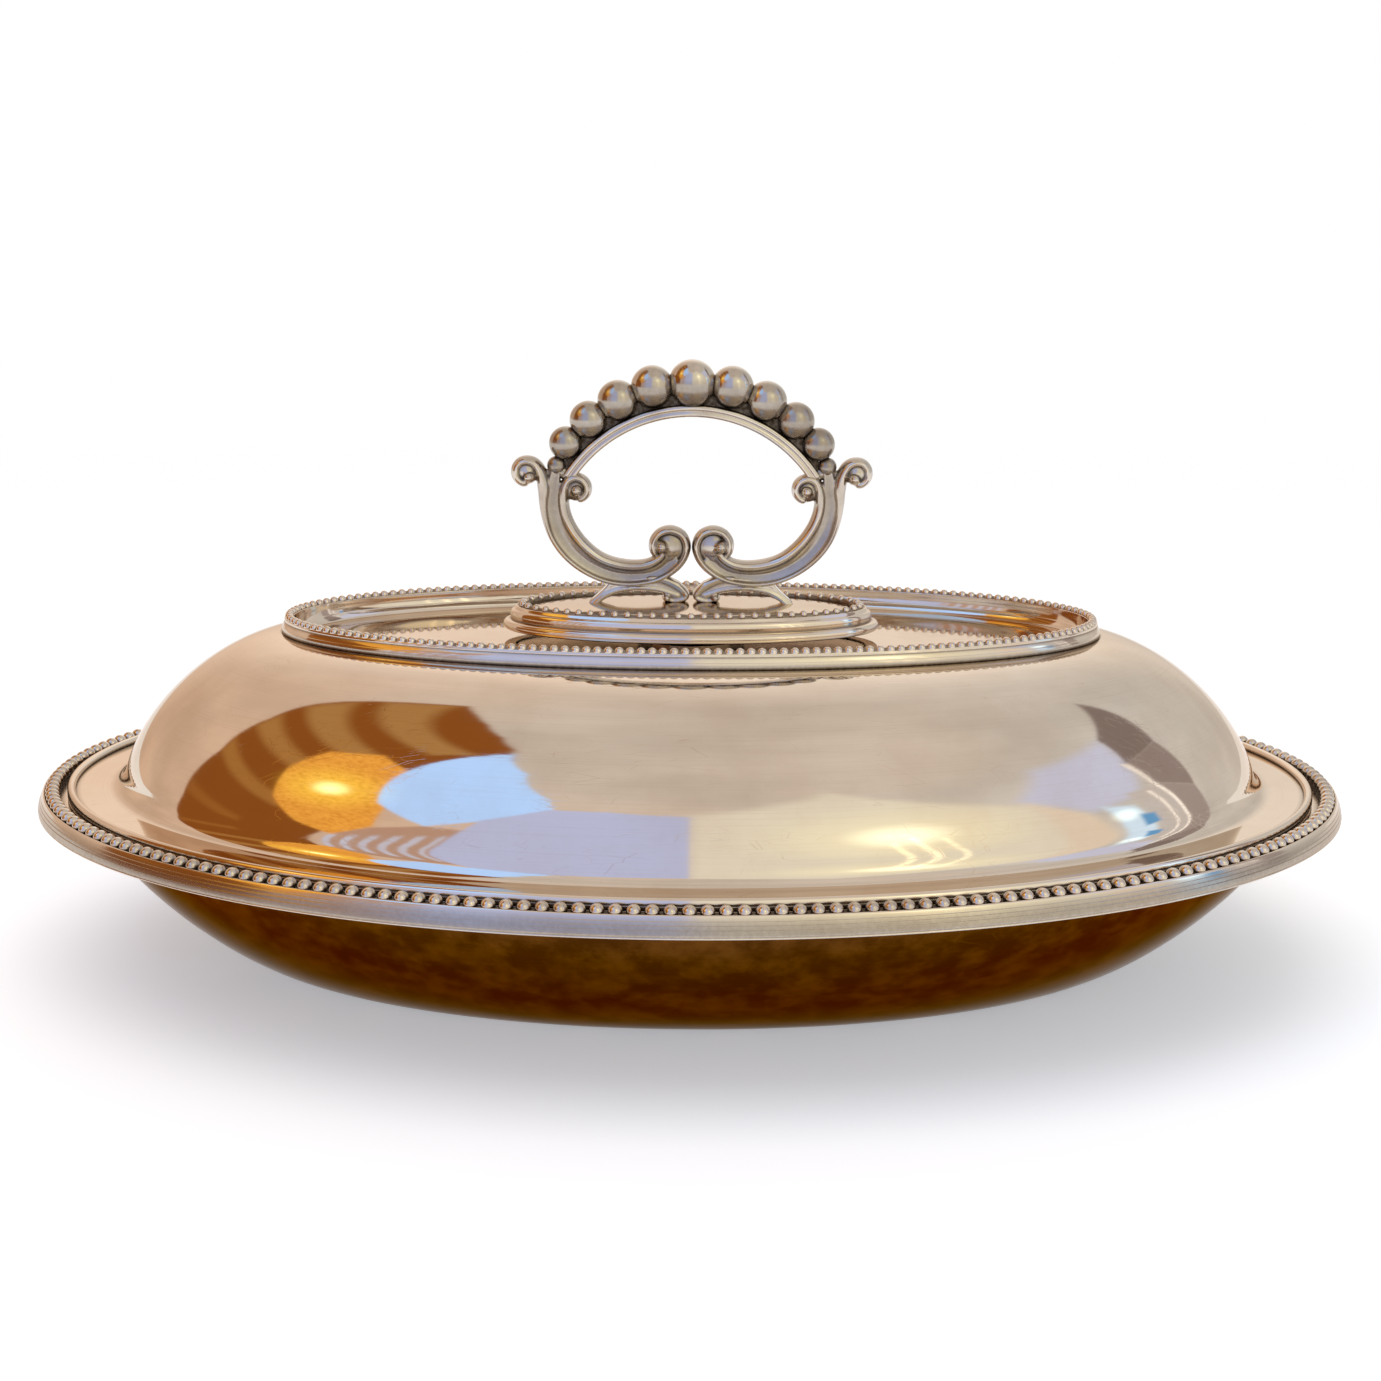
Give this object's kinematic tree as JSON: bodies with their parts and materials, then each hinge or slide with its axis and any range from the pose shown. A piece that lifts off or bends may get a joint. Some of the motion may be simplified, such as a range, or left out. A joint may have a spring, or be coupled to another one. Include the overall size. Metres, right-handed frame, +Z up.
{
  "type": "entree dish",
  "caption": "Oval silver-plated entree dish: shallow dish with beaded border, domed lid with beaded gallery, and a scroll handle that unlocks with a part turn.",
  "frame": {"origin": "on the table, under the middle of the dish", "axes": "+X along the dish, +Y across it towards the back, +Z up"},
  "size_m": [0.29, 0.204, 0.1334],
  "materials": {
    "polished_silver": "polished silver plate with fine cleaning scratches",
    "under_silver": "polished silver plate under a deep brown tarnish",
    "bead_silver": "silver plate, dark in the recesses",
    "cast_silver": "cast and plated silver, dark in the recesses",
    "inner_silver": "dull unpolished plate"
  },
  "bodies": {
    "dish": {"dish_body": "under_silver", "border_band": "polished_silver", "border_beads": "bead_silver"},
    "lid": {"lid_body": "polished_silver", "lid_edge_wire": "polished_silver", "gallery_moulding": "polished_silver", "gallery_beads": "bead_silver", "lid_stud": "inner_silver"},
    "handle": {"handle_plate": "polished_silver", "handle_plate_beads": "bead_silver", "lock_plate": "inner_silver", "arch_bar": "cast_silver", "scroll_left": "cast_silver", "scroll_right": "cast_silver", "foot_bracket_left": "cast_silver", "foot_bracket_right": "cast_silver", "ball_top": "cast_silver", "ball_left_1": "cast_silver", "ball_left_2": "cast_silver", "ball_left_3": "cast_silver", "ball_left_4": "cast_silver", "ball_left_5": "cast_silver", "ball_right_1": "cast_silver", "ball_right_2": "cast_silver", "ball_right_3": "cast_silver", "ball_right_4": "cast_silver", "ball_right_5": "cast_silver"}
  },
  "joints": [
    {"name": "lid_lift", "type": "slide", "parent": "dish", "child": "lid", "axis": [0, 0, 1], "range_m": [0, 0.12]},
    {"name": "handle_twist", "type": "hinge", "parent": "lid", "child": "handle", "pos_m": [0, 0, 0.0765], "axis": [0, 0, 1], "range_deg": [0, 60]}
  ]
}
